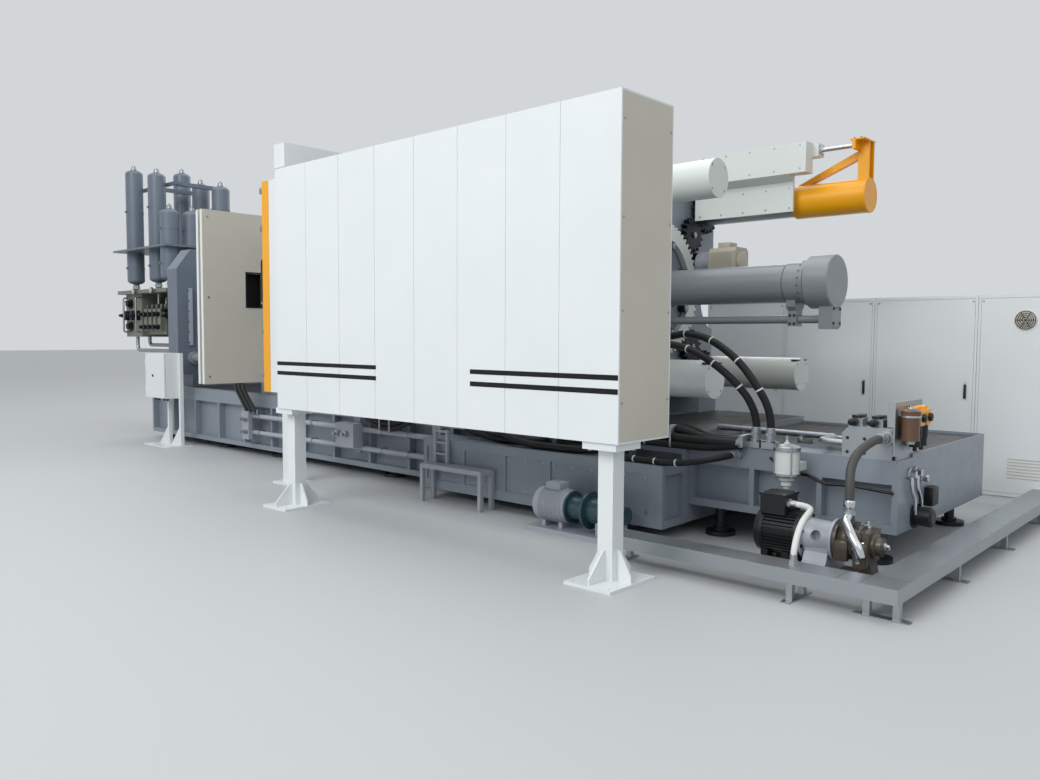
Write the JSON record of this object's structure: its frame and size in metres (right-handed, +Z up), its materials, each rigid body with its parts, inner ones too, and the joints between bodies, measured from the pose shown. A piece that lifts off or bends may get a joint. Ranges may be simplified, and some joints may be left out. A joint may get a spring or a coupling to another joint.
{
  "type": "die casting machine",
  "caption": "Cold-chamber die casting machine with toggle clamp, tie bars, shot end with accumulators, sliding safety door, tie bar puller and electrical cabinet.",
  "frame": {"origin": "middle of the footprint on the floor, z = 0 at the underside of the levelling feet and post plates", "axes": "+X along the machine from the shot end to the clamp end, +Y away from the operator side, +Z up"},
  "size_m": [14, 5.7, 4.568],
  "materials": {
    "base_paint": "satin",
    "dark_paint": "satin",
    "cast_steel": "matte",
    "tie_bar_steel": "satin",
    "chrome": "polished",
    "white_enamel": "gloss",
    "cover_enamel": "gloss",
    "beige_enamel": "satin",
    "galvanised": "satin",
    "yellow_paint": "gloss",
    "olive_paint": "satin",
    "black_paint": "satin",
    "bronze": "satin",
    "teal_paint": "gloss",
    "black_rubber": "matte",
    "white_plastic": "matte"
  },
  "bodies": {
    "frame": {"base_frame": "base_paint", "side_tank": "base_paint", "levelling_feet": "cast_steel", "stationary_platen": "base_paint", "moving_platen": "base_paint", "rear_platen": "base_paint", "tie_bars": "tie_bar_steel", "tie_bar_covers": "cover_enamel", "rear_links": "dark_paint", "front_links": "dark_paint", "crosshead": "dark_paint", "guide_rods": "chrome", "ring_gear": "cover_enamel", "adjusting_gears": "cast_steel", "clamp_cylinder": "base_paint", "cylinder_pipe": "base_paint", "puller_housing": "cover_enamel", "guard_box": "white_enamel", "guard_posts": "white_enamel", "door_rail": "galvanised", "front_side_wall": "beige_enamel", "rear_side_wall": "beige_enamel", "rear_guard": "white_enamel", "gantry": "white_enamel", "shot_frame": "dark_paint", "shot_rods": "dark_paint", "shot_cylinder": "base_paint", "shot_manifold": "olive_paint", "piston_accumulators": "dark_paint", "gas_bottles": "dark_paint", "bottle_rack": "dark_paint", "control_box": "white_enamel", "base_pipes": "base_paint", "pump_motor": "black_paint", "bell_housing": "galvanised", "pump_set": "bronze", "oil_filter": "cover_enamel", "valve_manifold": "galvanised", "filter_panel": "galvanised", "lube_unit": "teal_paint", "step_frame": "galvanised", "cable_tray": "galvanised", "cabinet": "white_enamel", "pressure_hose": "black_rubber", "return_hose": "black_rubber", "loop_hose": "black_rubber", "suction_hose": "black_rubber", "motor_conduit": "white_plastic"},
    "door": {"safety_door": "white_enamel", "door_fittings": "yellow_paint"},
    "puller": {"puller_carriage": "yellow_paint", "puller_rod": "chrome"},
    "box_door": {"control_box_door": "white_enamel"}
  },
  "joints": [
    {"name": "door_slide", "type": "slide", "parent": "frame", "child": "door", "axis": [1, 0, 0], "range_m": [-1.5, 1.1]},
    {"name": "puller_slide", "type": "slide", "parent": "frame", "child": "puller", "axis": [1, 0, 0], "range_m": [-0.27, 0.45]},
    {"name": "box_door_hinge", "type": "hinge", "parent": "frame", "child": "box_door", "pos_m": [-4.162, -1.566, 1.025], "axis": [0, 0, -1], "range_deg": [0, 110]}
  ]
}
